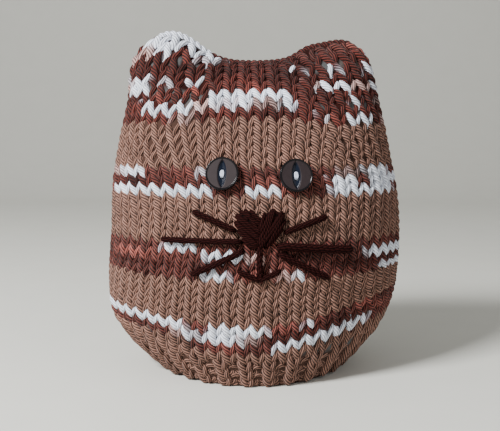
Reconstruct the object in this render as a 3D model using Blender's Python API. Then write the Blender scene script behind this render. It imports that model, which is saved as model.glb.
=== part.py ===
"""A hand-knitted tea cosy with a cat's face.

Two knitted panels, front and back, meet at the side seams and along the top seam. The corners
of the top seam stand up as ears, the belly is round, and the cloth tucks in to a ribbed hem that
stands on the table. The side seams are left open in the middle, for the pot's spout and handle.
Two buttons, a satin-stitched nose, a mouth of three stitches and six whiskers are sewn on.

Metres, +Z up. The face looks along -Y, and the hem stands at Z = 0 round the origin.
"""

import math

import bmesh
import bpy
import numpy as np
from mathutils import Matrix, Vector

# The cloth: its stitches across and up one panel, its thickness, and the gap between pieces.
WALES = 30
ROWS = 40
THICKNESS = 0.0042
SEAM_GAP = 0.0003

# The seams' plane stands this far behind the origin, which is in the middle of the whole piece.
SEAM_Y = 0.0012

# The mesh of a panel: two columns to a wale, and bands that crowd a little at hem and top seam.
COLUMNS = 2 * WALES
BANDS = 20
CROWDING = 0.06

# The ribs of the hem stand proud and sink by this much, and fade out over this share of the height.
RIB_RELIEF = 0.0008
RIB_WALES = 2
RIB_SHARE = 0.15

# The cosy's form at levels from hem to top seam: the height at the middle of the panel, the half
# widths left and right, the half depth, and the share of the ears' lift that the level takes.
FORM = np.array(
    (
        # height, left, right, depth, lift
        (0.000, 0.0490, 0.0465, 0.0530, 0.00),
        (0.012, 0.0640, 0.0585, 0.0562, 0.00),
        (0.028, 0.0780, 0.0715, 0.0582, 0.00),
        (0.045, 0.0808, 0.0775, 0.0590, 0.00),
        (0.068, 0.0802, 0.0798, 0.0580, 0.00),
        (0.090, 0.0790, 0.0790, 0.0545, 0.00),
        (0.112, 0.0765, 0.0750, 0.0490, 0.00),
        (0.130, 0.0728, 0.0712, 0.0420, 0.10),
        (0.145, 0.0690, 0.0675, 0.0330, 0.35),
        (0.157, 0.0676, 0.0642, 0.0220, 0.65),
        (0.165, 0.0642, 0.0603, 0.0110, 0.88),
        (0.169, 0.0600, 0.0560, 0.0000, 1.00),
    )
)
HEIGHT, LEFT, RIGHT, DEPTH, LIFT = range(5)

# How far the top seam stands above its middle, from the left ear to the right one.
EARS = np.array(
    (
        # across, lift
        (-1.00, 0.0075),
        (-0.88, 0.0135),
        (-0.76, 0.0155),
        (-0.58, 0.0118),
        (-0.40, 0.0045),
        (-0.22, 0.0005),
        (0.00, -0.0005),
        (0.22, 0.0000),
        (0.40, 0.0028),
        (0.52, 0.0070),
        (0.66, 0.0092),
        (0.84, 0.0108),
        (0.94, 0.0095),
        (1.00, 0.0070),
    )
)

# The openings in the side seams, for the spout on the left and the handle on the right.
SLITS = (
    # end, lowest point, highest point, width
    (-1, 0.040, 0.114, 0.026),
    (1, 0.036, 0.104, 0.020),
)
SLIT_POINT = 1.3

# What is sewn on lies this far off the cloth. Places are in wales from the left seam of the front
# panel and in rows from the hem.
SEWN_GAP = 0.0004
EYES = (
    # name, wale, row
    ("eye_button_left", 12.5, 23.0),
    ("eye_button_right", 17.9, 22.8),
)
EYE_RADIUS = 0.0086
EYE_HEIGHT = 0.0034
EYE_PUPIL = (0.0029, 0.0067, 0.0011)
EYE_HOLES = (0.0011, 0.0016)

NOSE_AT = (14.95, 17.27)
NOSE_REACH = (1.85, 1.97)
NOSE_HEIGHT = 0.0034

STITCHES = (
    # name, from wale, from row, to wale, to row, yarn radius
    ("mouth_stitch_middle", 15.05, 14.98, 15.35, 13.0, 0.0014),
    ("mouth_stitch_left", 13.95, 12.85, 15.15, 12.2, 0.0013),
    ("mouth_stitch_right", 16.65, 12.85, 15.60, 12.2, 0.0013),
    ("whisker_upper_left", 10.0, 18.95, 12.9, 17.25, 0.0014),
    ("whisker_middle_left", 7.4, 16.0, 13.45, 16.0, 0.0013),
    ("whisker_lower_left", 10.5, 12.6, 13.7, 14.9, 0.0014),
    ("whisker_upper_right", 19.9, 18.4, 17.1, 17.05, 0.0014),
    ("whisker_middle_right", 22.2, 14.9, 16.7, 15.5, 0.0019),
    ("whisker_lower_right", 20.3, 12.2, 16.8, 14.6, 0.0014),
)
STITCH_POINTS = 9

COLOURS = {
    # colour, roughness
    "tan_wool": ((0.32, 0.16, 0.10), 0.9),
    "chocolate_wool": ((0.045, 0.014, 0.010), 0.9),
    "horn_button": ((0.055, 0.042, 0.042), 0.25),
}


def smooth(knots, values, at):
    """A natural cubic spline through rows of values at the knots, read at many places."""
    count = len(knots)
    step = np.diff(knots)
    slope = np.diff(values, axis=0) / step[:, None]
    matrix = np.zeros((count, count))
    right = np.zeros((count, values.shape[1]))
    matrix[0, 0] = matrix[-1, -1] = 1
    inner = np.arange(1, count - 1)
    matrix[inner, inner - 1] = step[:-1]
    matrix[inner, inner] = 2 * (step[:-1] + step[1:])
    matrix[inner, inner + 1] = step[1:]
    right[1:-1] = 6 * np.diff(slope, axis=0)
    bend = np.linalg.solve(matrix, right)
    piece = np.clip(np.searchsorted(knots, at) - 1, 0, count - 2)
    along = (at - knots[piece])[:, None]
    width = step[piece][:, None]
    first, second = bend[piece], bend[piece + 1]
    start = slope[piece] - width * (2 * first + second) / 6
    return values[piece] + start * along + first / 2 * along**2 + (second - first) / (6 * width) * along**3


def form_at(up):
    """The form at shares of the cloth's length from hem to top seam."""
    lengths = np.hypot(np.diff(FORM[:, HEIGHT]), np.diff(FORM[:, DEPTH]))
    knots = np.concatenate([[0], np.cumsum(lengths)])
    return smooth(knots / knots[-1], FORM, up)


def slit_reach(end, height):
    """How far the cloth's edge stands back from the side seam at a height."""
    for slit_end, low, high, width in SLITS:
        share = (height - low) / (high - low)
        if slit_end == end and 0 < share < 1:
            return width / 2 * math.sin(math.pi * share) ** SLIT_POINT
    return 0


def cloth(across, up, side, out):
    """Points of a panel: across from -1 at the left seam to 1, up from 0 at the hem to 1.

    side is -1 on the front and 1 on the back, and out is how far the point lies outside the
    middle of the cloth. Each level is a half ellipse, and across runs evenly along its curve.
    """
    across, up, out = np.broadcast_arrays(across, up, out)
    shape = across.shape
    across, up, out = (np.ravel(values).astype(float) for values in (across, up, out))
    levels, level_of = np.unique(up, return_inverse=True)
    small = 0.001
    forms = form_at(levels)
    rises = form_at(np.minimum(levels + small, 1)) - form_at(np.maximum(levels - small, 0))
    ears = smooth(EARS[:, 0], EARS[:, 1:], across)[:, 0]
    points = np.zeros((len(across), 3))
    for index, (form, rise) in enumerate(zip(forms, rises)):
        here = np.flatnonzero(level_of.ravel() == index)
        lean = math.hypot(rise[HEIGHT], rise[DEPTH])
        ends = [
            math.asin(min(slit_reach(end, form[HEIGHT]) / max(form[DEPTH], 1e-4), 0.95))
            for end in (-1, 1)
        ]
        turns = np.linspace(-math.pi / 2 + ends[0], math.pi / 2 - ends[1], 241)
        steps = np.hypot(
            np.diff(np.where(turns < 0, form[LEFT], form[RIGHT]) * np.sin(turns)),
            np.diff(form[DEPTH] * np.cos(turns)),
        )
        lengths = np.concatenate([[0], np.cumsum(steps)])
        turn = np.interp(across[here], 2 * lengths / lengths[-1] - 1, turns)
        widths = [
            form[half] + out[here] * rise[HEIGHT] / math.hypot(rise[HEIGHT], rise[half])
            for half in (LEFT, RIGHT)
        ]
        depth = np.maximum(form[DEPTH] + out[here] * rise[HEIGHT] / lean, 0)
        height = form[HEIGHT] - out[here] * rise[DEPTH] / lean
        if levels[index] <= 0:
            height = np.zeros(len(here))
        if levels[index] >= 1:
            depth = np.zeros(len(here))
        points[here, 0] = np.where(turn < 0, *widths) * np.sin(turn)
        points[here, 1] = SEAM_Y + np.maximum(depth * np.cos(turn), SEAM_GAP / 2) * side
        points[here, 2] = np.maximum(height + form[LIFT] * ears[here], 0)
    return points.reshape(shape + (3,))


def on_front(wale, row, off):
    """A point a distance off the front of the cloth, and the way that the cloth faces there."""
    across = 2 * np.asarray(wale) / WALES - 1
    up = np.asarray(row) / ROWS
    small = 0.004
    here = cloth(across, up, -1, THICKNESS / 2)
    sideways = cloth(across + small, up, -1, THICKNESS / 2) - cloth(across - small, up, -1, THICKNESS / 2)
    upwards = cloth(across, up + small, -1, THICKNESS / 2) - cloth(across, up - small, -1, THICKNESS / 2)
    facing = np.cross(sideways, upwards)
    facing /= np.linalg.norm(facing, axis=-1, keepdims=True)
    return here + facing * np.asarray(off)[..., None], facing


def remove_all():
    """Clears the scene."""
    for thing in list(bpy.data.objects):
        bpy.data.objects.remove(thing, do_unlink=True)


def finish_for(name):
    """The Principled BSDF material of one finish."""
    material = bpy.data.materials.get(name) or bpy.data.materials.new(name)
    colour, roughness = COLOURS[name]
    material.use_nodes = True
    shader = material.node_tree.nodes["Principled BSDF"]
    shader.inputs["Base Color"].default_value = (*colour, 1)
    shader.inputs["Roughness"].default_value = roughness
    shader.inputs["Metallic"].default_value = 0
    return material


def add_object(name, data, finish):
    """Puts a mesh or a curve in the scene as one named piece."""
    piece = bpy.data.objects.new(name, data)
    bpy.context.scene.collection.objects.link(piece)
    data.materials.append(finish_for(finish))
    return piece


def add_mesh(name, shape, finish):
    """Turns a bmesh into a named piece, with its faces outwards and its round sides smooth."""
    bmesh.ops.recalc_face_normals(shape, faces=shape.faces)
    mesh = bpy.data.meshes.new(name)
    shape.to_mesh(mesh)
    shape.free()
    mesh.shade_smooth()
    mesh.set_sharp_from_angle(angle=math.radians(40))
    return add_object(name, mesh, finish)


def add_grid(shape, points):
    """Adds a grid of points with its quads, and returns its vertices row by row."""
    rows = [[shape.verts.new(point) for point in line] for line in points]
    for lower, upper in zip(rows, rows[1:]):
        for index in range(len(lower) - 1):
            shape.faces.new((lower[index], lower[index + 1], upper[index + 1], upper[index]))
    return rows


def rim_of(rows):
    """The vertices round a grid, in order."""
    left = [row[0] for row in rows[-2:0:-1]]
    right = [row[-1] for row in rows[1:-1]]
    return rows[0] + right + rows[-1][::-1] + left


def make_panel(name, side):
    """One knitted panel: two skins a cloth's thickness apart, joined round the rim."""
    shares = np.linspace(0, 1, BANDS + 1)
    levels = shares - CROWDING * np.sin(2 * math.pi * shares)
    levels[0], levels[-1] = 0, 1
    across, up = np.meshgrid(np.linspace(-1, 1, COLUMNS + 1), levels)
    wale = (across + 1) / 2 * WALES
    fade = np.clip(1 - up / RIB_SHARE, 0, 1)
    fade = fade * fade * (3 - 2 * fade)
    ribs = RIB_RELIEF * fade * np.cos(2 * math.pi * wale / RIB_WALES)
    shape = bmesh.new()
    outer = rim_of(add_grid(shape, cloth(across, up, side, THICKNESS / 2 + ribs)))
    inner = rim_of(add_grid(shape, cloth(across, up, side, -THICKNESS / 2)))
    for index, corner in enumerate(outer):
        following = (index + 1) % len(outer)
        shape.faces.new((corner, inner[index], inner[following], outer[following]))
    return add_mesh(name, shape, "tan_wool")


def make_button(name, wale, row):
    """A round button with a raised rim, a lens-shaped hollow like a cat's pupil and two holes."""
    profile = (
        # radius, height
        (0.0, 0.0),
        (EYE_RADIUS * 0.62, 0.0),
        (EYE_RADIUS * 0.93, EYE_HEIGHT * 0.24),
        (EYE_RADIUS, EYE_HEIGHT * 0.50),
        (EYE_RADIUS * 0.97, EYE_HEIGHT * 0.80),
        (EYE_RADIUS * 0.90, EYE_HEIGHT),
        (EYE_RADIUS * 0.82, EYE_HEIGHT * 0.94),
        (0.0, EYE_HEIGHT * 0.88),
    )
    shape = bmesh.new()
    corners = [shape.verts.new((radius, 0, height)) for radius, height in profile]
    edges = [shape.edges.new(pair) for pair in zip(corners, corners[1:])]
    bmesh.ops.spin(
        shape, geom=corners + edges, axis=(0, 0, 1), cent=(0, 0, 0), steps=28, angle=2 * math.pi
    )
    bmesh.ops.remove_doubles(shape, verts=shape.verts, dist=1e-5)
    button = add_mesh(name, shape, "horn_button")

    half_width, half_height, deep = EYE_PUPIL
    hole_radius, hole_reach = EYE_HOLES
    lens = [
        (half_width * math.sin(turn) * abs(math.sin(turn)) ** 0.35, half_height * math.cos(turn))
        for turn in np.linspace(0, 2 * math.pi, 20, endpoint=False)
    ]
    cutters = [(lens, EYE_HEIGHT - deep)]
    for way in (-1, 1):
        ring = [
            (hole_radius * math.cos(turn), way * hole_reach + hole_radius * math.sin(turn))
            for turn in np.linspace(0, 2 * math.pi, 10, endpoint=False)
        ]
        cutters.append((ring, -EYE_HEIGHT))
    point, facing = on_front(wale, row, SEWN_GAP)
    place = Matrix.Translation(Vector(point)) @ Vector(facing).to_track_quat("Z", "Y").to_matrix().to_4x4()
    for number, (outline, bottom) in enumerate(cutters):
        cut = bmesh.new()
        face = cut.faces.new([cut.verts.new((x, y, bottom)) for x, y in outline])
        raised = bmesh.ops.extrude_face_region(cut, geom=[face])["geom"]
        lifted = [item for item in raised if isinstance(item, bmesh.types.BMVert)]
        bmesh.ops.translate(cut, verts=lifted, vec=(0, 0, 3 * EYE_HEIGHT))
        cutter = add_mesh(f"{name}_cutter_{number}", cut, "horn_button")
        cutter.hide_render = True
        cutter.display_type = "WIRE"
        cutter.matrix_world = place
        modifier = button.modifiers.new(f"cut_{number}", "BOOLEAN")
        modifier.operation = "DIFFERENCE"
        modifier.object = cutter
    button.matrix_world = place
    return button


def make_nose():
    """The satin-stitched nose: a heart-shaped cushion of yarn that follows the cloth."""
    turns = np.linspace(0, 2 * math.pi, 28, endpoint=False)
    heart_x = np.sign(np.sin(turns)) * np.abs(np.sin(turns)) ** (1.75 + 0.85 * np.cos(turns))
    heart_y = 13 * np.cos(turns) - 5 * np.cos(2 * turns) - 2 * np.cos(3 * turns) - np.cos(4 * turns)
    heart_y = (heart_y + 2.5) / 14.5
    rings = (
        # share of the outline, height
        (0.96, 0.0),
        (1.00, 0.35),
        (0.93, 0.72),
        (0.72, 0.95),
        (0.40, 1.00),
    )
    shape = bmesh.new()
    loops = []
    for share, height in rings:
        wale = NOSE_AT[0] + share * heart_x * NOSE_REACH[0]
        row = NOSE_AT[1] + share * heart_y * NOSE_REACH[1]
        points, _ = on_front(wale, row, np.full(len(turns), SEWN_GAP + height * NOSE_HEIGHT))
        loops.append([shape.verts.new(point) for point in points])
    for lower, upper in zip(loops, loops[1:]):
        for index in range(len(lower)):
            following = (index + 1) % len(lower)
            shape.faces.new((lower[index], lower[following], upper[following], upper[index]))
    for ring, height in ((loops[0], 0), (loops[-1], NOSE_HEIGHT)):
        middle, _ = on_front(*NOSE_AT, SEWN_GAP + height)
        centre = shape.verts.new(middle)
        for index in range(len(ring)):
            shape.faces.new((ring[index], ring[(index + 1) % len(ring)], centre))
    return add_mesh("nose", shape, "chocolate_wool")


def make_stitch(name, from_wale, from_row, to_wale, to_row, radius):
    """One long stitch of yarn over the cloth, drawn in where it goes through at its two ends."""
    along = np.linspace(0, 1, STITCH_POINTS)
    rise = np.minimum(np.minimum(along, 1 - along) * 6, 1)
    girth = radius * (0.55 + 0.45 * rise)
    wale = from_wale + (to_wale - from_wale) * along
    row = from_row + (to_row - from_row) * along
    points, _ = on_front(wale, row, SEWN_GAP + radius * 1.05)
    curve = bpy.data.curves.new(name, "CURVE")
    curve.dimensions = "3D"
    curve.bevel_depth = 1
    curve.bevel_resolution = 2
    curve.use_fill_caps = True
    line = curve.splines.new("POLY")
    line.points.add(STITCH_POINTS - 1)
    for point, place, thick in zip(line.points, points, girth):
        point.co = (*place, 1)
        point.radius = thick
    return add_object(name, curve, "chocolate_wool")


def make_cosy():
    """Makes every piece of the cosy."""
    remove_all()
    make_panel("front_panel", -1)
    make_panel("back_panel", 1)
    for name, wale, row in EYES:
        make_button(name, wale, row)
    make_nose()
    for stitch in STITCHES:
        make_stitch(*stitch)


make_cosy()
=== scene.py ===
"""The looks of a hand-knitted tea cosy with a cat's face.

Every stitch is a loop of plied yarn that lies on the cosy's form. The yarn changes colour along
its length, which makes the stripes and the flecks. Metres, +Z up; the face looks along -Y.
"""

import math

import bpy
import numpy as np
from bpy.props import FloatProperty, FloatVectorProperty, IntProperty, PointerProperty
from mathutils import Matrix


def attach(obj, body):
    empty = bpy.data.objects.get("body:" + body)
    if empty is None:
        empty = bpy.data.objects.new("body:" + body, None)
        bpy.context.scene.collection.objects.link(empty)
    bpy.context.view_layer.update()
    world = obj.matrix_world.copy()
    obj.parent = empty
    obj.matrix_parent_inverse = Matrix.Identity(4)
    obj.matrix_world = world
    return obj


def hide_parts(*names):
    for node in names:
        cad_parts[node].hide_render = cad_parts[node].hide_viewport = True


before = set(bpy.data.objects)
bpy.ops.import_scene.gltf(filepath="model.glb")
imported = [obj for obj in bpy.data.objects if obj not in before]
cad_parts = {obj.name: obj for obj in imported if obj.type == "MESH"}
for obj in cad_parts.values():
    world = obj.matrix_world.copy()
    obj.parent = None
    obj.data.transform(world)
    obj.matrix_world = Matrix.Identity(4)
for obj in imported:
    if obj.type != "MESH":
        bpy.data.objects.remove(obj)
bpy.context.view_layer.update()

bl_info = {
    "name": "Knitted cat tea cosy",
    "version": (1, 0, 0),
    "blender": (4, 5, 0),
    "location": "3D View > Sidebar > Tea cosy",
    "description": "Knits the panels, seams and face of a tea cosy over its solids",
    "category": "Object",
}

# The cloth: its stitches across and up one panel, and the seams' plane.
WALES = 30
ROWS = 40
THICKNESS = 0.0042
SEAM_GAP = 0.0003
SEAM_Y = 0.0012
SEWN_GAP = 0.0004
WALE_SIZE = 0.0071
ROW_SIZE = 0.0048

# The form at levels from hem to top seam: the height at the middle of the panel, the half widths
# left and right, the half depth, and the share of the ears' lift that the level takes.
FORM = np.array((
    # height, left, right, depth, lift
    (0.000, 0.0490, 0.0465, 0.0530, 0.00),
    (0.012, 0.0640, 0.0585, 0.0562, 0.00),
    (0.028, 0.0780, 0.0715, 0.0582, 0.00),
    (0.045, 0.0808, 0.0775, 0.0590, 0.00),
    (0.068, 0.0802, 0.0798, 0.0580, 0.00),
    (0.090, 0.0790, 0.0790, 0.0545, 0.00),
    (0.112, 0.0765, 0.0750, 0.0490, 0.00),
    (0.130, 0.0728, 0.0712, 0.0420, 0.10),
    (0.145, 0.0690, 0.0675, 0.0330, 0.35),
    (0.157, 0.0676, 0.0642, 0.0220, 0.65),
    (0.165, 0.0642, 0.0603, 0.0110, 0.88),
    (0.169, 0.0600, 0.0560, 0.0000, 1.00),
))
HEIGHT, LEFT, RIGHT, DEPTH, LIFT = range(5)

# How far the top seam stands above its middle, from the left ear to the right one.
EARS = np.array((
    # across, lift
    (-1.00, 0.0075),
    (-0.88, 0.0135),
    (-0.76, 0.0155),
    (-0.58, 0.0118),
    (-0.40, 0.0045),
    (-0.22, 0.0005),
    (0.00, -0.0005),
    (0.22, 0.0000),
    (0.40, 0.0028),
    (0.52, 0.0070),
    (0.66, 0.0092),
    (0.84, 0.0108),
    (0.94, 0.0095),
    (1.00, 0.0070),
))

# The openings in the side seams, for the spout on the left and the handle on the right.
SLITS = (
    # end, lowest point, highest point, width
    (-1, 0.040, 0.114, 0.026),
    (1, 0.036, 0.104, 0.020),
)
SLIT_POINT = 1.3

# The samples of the form: so many to a wale and to a row.
FINE = 8
TURNS = 241

# The knitting of a panel: where its rows lie on the form, how far they sink towards the sides, in
# rows of the form, and the width of a stitch there. The last stitches at each end of a row share
# what is left of the half round, and the ribs have a stitch to each wale of the form.
KNIT_ROWS = 38
ROW_PLACES = np.array((
    # knitted row, row of the form, sinking, width
    (0, 0.0, 0.0, 0.0070),
    (24, 24.0, 0.0, 0.0070),
    (29, 29.75, 1.1, 0.0076),
    (31, 32.35, 1.5, 0.0078),
    (33, 34.95, 2.3, 0.0078),
    (35, 37.9, 3.3, 0.0077),
    (36, 38.6, 2.5, 0.0077),
    (37, 39.3, 1.7, 0.0076),
    (38, 40.0, 0.0, 0.0076),
))
KNITTED, PLACE, SINKING, WIDTH = range(4)
SINK_SHARE = 0.40
EDGE_STITCHES = 6

# The loop of one stitch: its swing sideways in wales, its reach up and down in rows, how far its
# legs stand before the yarns' middle and its head and foot behind it, and how far that middle lies
# inside the cloth's. The first leg of a loop lies fat and twisted, the second thin and untwisted.
SWING = 0.240
REACH = 0.95
RELIEF = 0.00105
SINK = 0.0005
YARN_RADIUS = 0.00160
LEG_CONTRAST = 0.17
LEG_TAPER = 0.14
EDGE_REACH = 0.20
PLIES = 7
# On the palest wool, the painted shade in the ply grooves leaves this share of the colour.
PALE_GROOVE_PAINTED_SHADE = 0.85
TWIST = 0.0213
TWIST_CONTRAST = 0.47
FLOOR = 0.0002
YARN_SQUASH = 0.92
RIB_ROWS = 3
RIB_SHARPNESS = 3.0
RIB_RELIEF = 0.0007

# How uneven the hand is: in wales, in rows and as a share of the yarn's radius.
UNEVEN_WALE = 0.042
UNEVEN_ROW = 0.070
UNEVEN_RADIUS = 0.065

# The yarn lies fuller in the ears, by up to this share, which grows between these rows.
EAR_FULLNESS = 0.24
EAR_ROWS = (32, 36)

# The knitted rows of the front curve up towards the sides: by so many rows, reached over this
# share of the half width, most at one row and not at all above another.
ROW_CURVES = (
    # end, rows, share
    (-1, 1.6, 0.50),
    (1, 3.8, 0.55),
)
ROW_CURVE_MOST = 4.5
ROW_CURVE_TOP = 14.5
TOP_MARGIN = 0.45

# Where each side's knitting is divided in pieces, and how finely its tubes are made.
FRONT_PIECES = (
    # name, first row, row after the last
    ("front_yarn_lower", 0, 13),
    ("front_yarn_middle", 13, 27),
    ("front_yarn_upper", 27, 38),
)
BACK_PIECES = (
    ("back_yarn_lower", 0, 20),
    ("back_yarn_upper", 20, 38),
)
FRONT_POINTS, FRONT_SIDES = 22, 10
BACK_POINTS, BACK_SIDES = 16, 7
KNIT_STRIPS = 3

# The yarn's shades, as sRGB.
SHADES = {
    "tan": (0.590, 0.436, 0.378),
    "rust": (0.465, 0.255, 0.226),
    "deeprust": (0.405, 0.196, 0.168),
    "brown": (0.350, 0.158, 0.134),
    "pink": (0.800, 0.650, 0.625),
    "taupe": (0.570, 0.465, 0.450),
    "grey": (0.780, 0.750, 0.780),
    "white": (0.930, 0.950, 1.000),
}

# The ground shade of every row, from the hem to the top seam.
ROW_SHADES = (
    # first row, row after the last, shade
    (0, 4, "tan"),
    (4, 7, "rust"),
    (7, 12, "tan"),
    (12, 16, "rust"),
    (16, 21, "tan"),
    (21, 24, "rust"),
    (24, 29, "tan"),
    (29, 33, "deeprust"),
    (33, 38, "brown"),
)

# Where the front's bands turn light or change shade: broad patches, in whole sixths of a row.
# A share of each patch is knitted in its shade, in seeded lengths, and "light" is a mixture.
FRONT_PATCHES = (
    # row, then its patches: from sixth, to sixth, shade, share
    (4, (0, 2, "tan", 1.0), (3, 5, "white", 0.95)),
    (5, (2, 3, "light", 0.5), (3, 5, "deeprust", 1.0)),
    (6, (0, 3, "white", 0.95), (3, 4, "light", 0.6), (5, 6, "light", 0.5)),
    (12, (0, 2, "rust", 1.0), (2, 3, "white", 0.9), (3, 4, "light", 0.4), (5, 6, "white", 0.8)),
    (13, (0, 2, "deeprust", 1.0), (4, 5, "brown", 1.0)),
    (14, (2, 3, "light", 0.7), (5, 6, "white", 0.9)),
    (15, (1, 2, "light", 0.4)),
    (21, (0, 2, "white", 0.95), (2, 4, "light", 0.3), (4, 6, "white", 0.8)),
    (22, (0, 2, "deeprust", 1.0), (4, 6, "white", 0.8)),
    (23, (0, 1, "light", 0.5), (2, 3, "light", 0.4), (4, 6, "light", 0.7)),
    (29, (1, 2, "light", 0.5), (4, 6, "light", 0.3)),
    (30, (1, 4, "light", 0.7)),
    (31, (2, 4, "white", 0.8), (5, 6, "light", 0.5)),
    (32, (0, 1, "light", 0.4)),
    (33, (0, 2, "light", 0.3), (4, 6, "light", 0.7)),
    (34, (0, 1, "light", 0.3)),
    (35, (4, 6, "white", 0.7)),
    (36, (0, 2, "light", 0.8)),
    (37, (0, 2, "white", 0.95), (4, 6, "rust", 1.0)),
)
PATCH_WALES = WALES / 6
PATCH_END = 1.5
PATCH_SEED = 70
LIGHT_REPEAT = ("white", "white", "pink", "white", "grey", "white", "taupe")
FLECK_WALES = (0.7, 3.2)

# The back's runs start at these wales and are so many wales long, in the flecked rows alone.
BACK_FLECKS = (
    # row, then its runs: from wale, wales, shade
    (4, (3, 9, "white")),
    (5, (14, 5, "taupe"), (20, 6, "white")),
    (6, (8, 7, "pink")),
    (12, (17, 8, "white")),
    (13, (4, 5, "grey")),
    (14, (9, 6, "white")),
    (15, (20, 4, "pink"), (26, 3, "white")),
    (21, (12, 8, "white")),
    (22, (2, 5, "white"), (21, 3, "grey")),
    (23, (24, 5, "white")),
    (24, (7, 4, "pink")),
    (29, (5, 4, "taupe")),
    (30, (17, 9, "white")),
    (31, (3, 3, "pink")),
    (32, (8, 6, "white")),
    (33, (22, 5, "grey")),
    (34, (12, 5, "white")),
    (36, (3, 6, "white")),
    (37, (19, 4, "pink"), (23, 5, "white")),
)
RUN_BLEND = 0.20

# The cast-off edge along the top seam is white on this stretch.
CAST_OFF_WHITE = (2.0, 9.0)

# The face. Places are in wales from the left seam of the front panel and in rows from the hem.
EYES = (
    # name, wale, row
    ("eye_button_left", 12.5, 23.0),
    ("eye_button_right", 17.9, 22.8),
)
FACE_SHADE = (0.165, 0.055, 0.050)
THREAD_SHADE = (0.80, 0.83, 0.90)
BUTTON_SHADE = (0.165, 0.136, 0.142)
EYE_RADIUS = 0.0086
EYE_HEIGHT = 0.0034
EYE_PUPIL = (0.0025, 0.0071, 0.0012)
EYE_HOLES = (0.0011, 0.0016)
EYE_RINGS, EYE_SPOKES = 46, 112

# A button's rim, as shares of its radius and height, the flat face inside it, and the shape of the
# hollow: a lens whose half width is (1 - (up / half height) squared) to a power, partly a smooth
# bowl and partly a crease. The thread's strands lie side by side and dip into the two holes.
RIM = np.array((
    # radius, height
    (0.870, 0.880),
    (0.890, 0.905),
    (0.915, 0.970),
    (0.940, 1.000),
    (0.968, 0.960),
    (0.992, 0.800),
    (1.000, 0.560),
    (0.980, 0.360),
    (0.930, 0.240),
    (0.780, 0.100),
    (0.620, 0.000),
))
RIM_RINGS = 24
FACE_REACH, FACE_LEVEL = (0.02, 0.865), 0.880
UNDER_REACH = (0.3, 0.02)
GLOSSY_FROM = 0.868
LENS_POWER = 0.675
LENS_EDGE, HOLE_EDGE = 0.0006, 0.0003
LENS_BOWL, LENS_CREASE = 0.45, 0.55
HOLE_LEVEL = 0.78
FACE_ROUGHNESS = 0.50
RIM_LOOK = (0.006, 0.005, 0.006, 0.16)
LENS_LOOK = (0.006, 0.009, 0.018, 0.22)
THREAD_STRANDS, THREAD_POINTS, THREAD_SIDES = 4, 25, 8
THREAD_APART, THREAD_PAST, THREAD_RADIUS, THREAD_TWIST = 0.00052, 0.0004, 0.00034, 0.004
THREAD_LEVEL, THREAD_RISE, THREAD_DIP = 0.88, 0.0007, 0.0021

NOSE_AT = (14.95, 17.27)
NOSE_REACH = (1.85, 1.97)
NOSE_HEIGHT = 0.0034
NOSE_STRAND = 0.00095
NOSE_UNEVEN = 0.11
NOSE_SEED = 11
NOSE_LOBES = (
    # end, angle of the strands in degrees, fan in degrees, strands, their spread
    (-1, 48.0, 12.0, 15, 0.98),
    (1, 72.0, 16.0, 13, 0.66),
)
NOSE_MIDDLE = (0.44, 0.05)
NOSE_RINGS = np.array((
    # share of the outline, height
    (0.90, 0.00),
    (0.97, 0.16),
    (0.93, 0.42),
    (0.80, 0.60),
    (0.60, 0.70),
    (0.36, 0.74),
    (0.02, 0.75),
))
NOSE_TURNS = 72
# The nose's padding is the face yarn darkened by this share, as painted shade between the satin
# strands.
PADDING_PAINTED_SHADE = 0.6
STRAND_SEARCH, STRAND_SAMPLES, STRAND_LEAST = 1.6, 321, 12
STRAND_PAST, STRAND_POINTS, STRAND_SIDES = 0.03, 25, 7
SATIN_FOOT, SATIN_RISE, SATIN_DIP = 0.16, 0.62, 0.0012

STITCHES = (
    # name, from wale, from row, to wale, to row, yarn radius
    ("mouth_stitch_middle", 15.08, 15.3, 15.35, 12.5, 0.0014),
    ("mouth_stitch_left", 13.95, 12.85, 15.25, 12.1, 0.0013),
    ("mouth_stitch_right", 16.65, 12.85, 15.40, 12.1, 0.0013),
    ("whisker_upper_left", 10.0, 18.95, 12.9, 17.25, 0.0014),
    ("whisker_middle_left", 7.4, 16.0, 13.45, 16.0, 0.0013),
    ("whisker_lower_left", 10.5, 12.6, 13.7, 14.9, 0.0014),
    ("whisker_upper_right", 19.9, 18.4, 17.1, 17.05, 0.0014),
    ("whisker_middle_right", 22.2, 14.9, 16.7, 15.5, 0.0019),
    ("whisker_lower_right", 20.3, 12.2, 16.8, 14.6, 0.0014),
)
STITCH_PLIES, STITCH_SIDES = 3, 9
FACE_TWIST = 0.007
END_OVERLAP = 0.0012
STITCH_TWIST = 0.0085
STITCH_LIFT, STITCH_DIP, STITCH_POINTS = 1.05, 0.0030, 61
STITCH_TAPER, PLY_PLACE, PLY_RADIUS = 0.25, 0.54, 0.68
END_DIP = 0.0018


# ---- The form ----


def running(steps):
    """Lengths along lines from their steps, with 0 at the start."""
    return np.concatenate([np.zeros((*steps.shape[:-1], 1)), np.cumsum(steps, axis=-1)], axis=-1)


def unit(ways):
    """Directions of length 1."""
    return ways / np.linalg.norm(ways, axis=-1, keepdims=True)


def smooth(knots, values, at):
    """A natural cubic spline through rows of values at the knots, read at many places."""
    count = len(knots)
    step = np.diff(knots)
    slope = np.diff(values, axis=0) / step[:, None]
    matrix = np.zeros((count, count))
    right = np.zeros((count, values.shape[1]))
    matrix[0, 0] = matrix[-1, -1] = 1
    inner = np.arange(1, count - 1)
    matrix[inner, inner - 1] = step[:-1]
    matrix[inner, inner] = 2 * (step[:-1] + step[1:])
    matrix[inner, inner + 1] = step[1:]
    right[1:-1] = 6 * np.diff(slope, axis=0)
    bend = np.linalg.solve(matrix, right)
    piece = np.clip(np.searchsorted(knots, at) - 1, 0, count - 2)
    along = (at - knots[piece])[:, None]
    width = step[piece][:, None]
    first, second = bend[piece], bend[piece + 1]
    start = slope[piece] - width * (2 * first + second) / 6
    cubic = (second - first) / (6 * width)
    return values[piece] + start * along + first / 2 * along**2 + cubic * along**3


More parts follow.
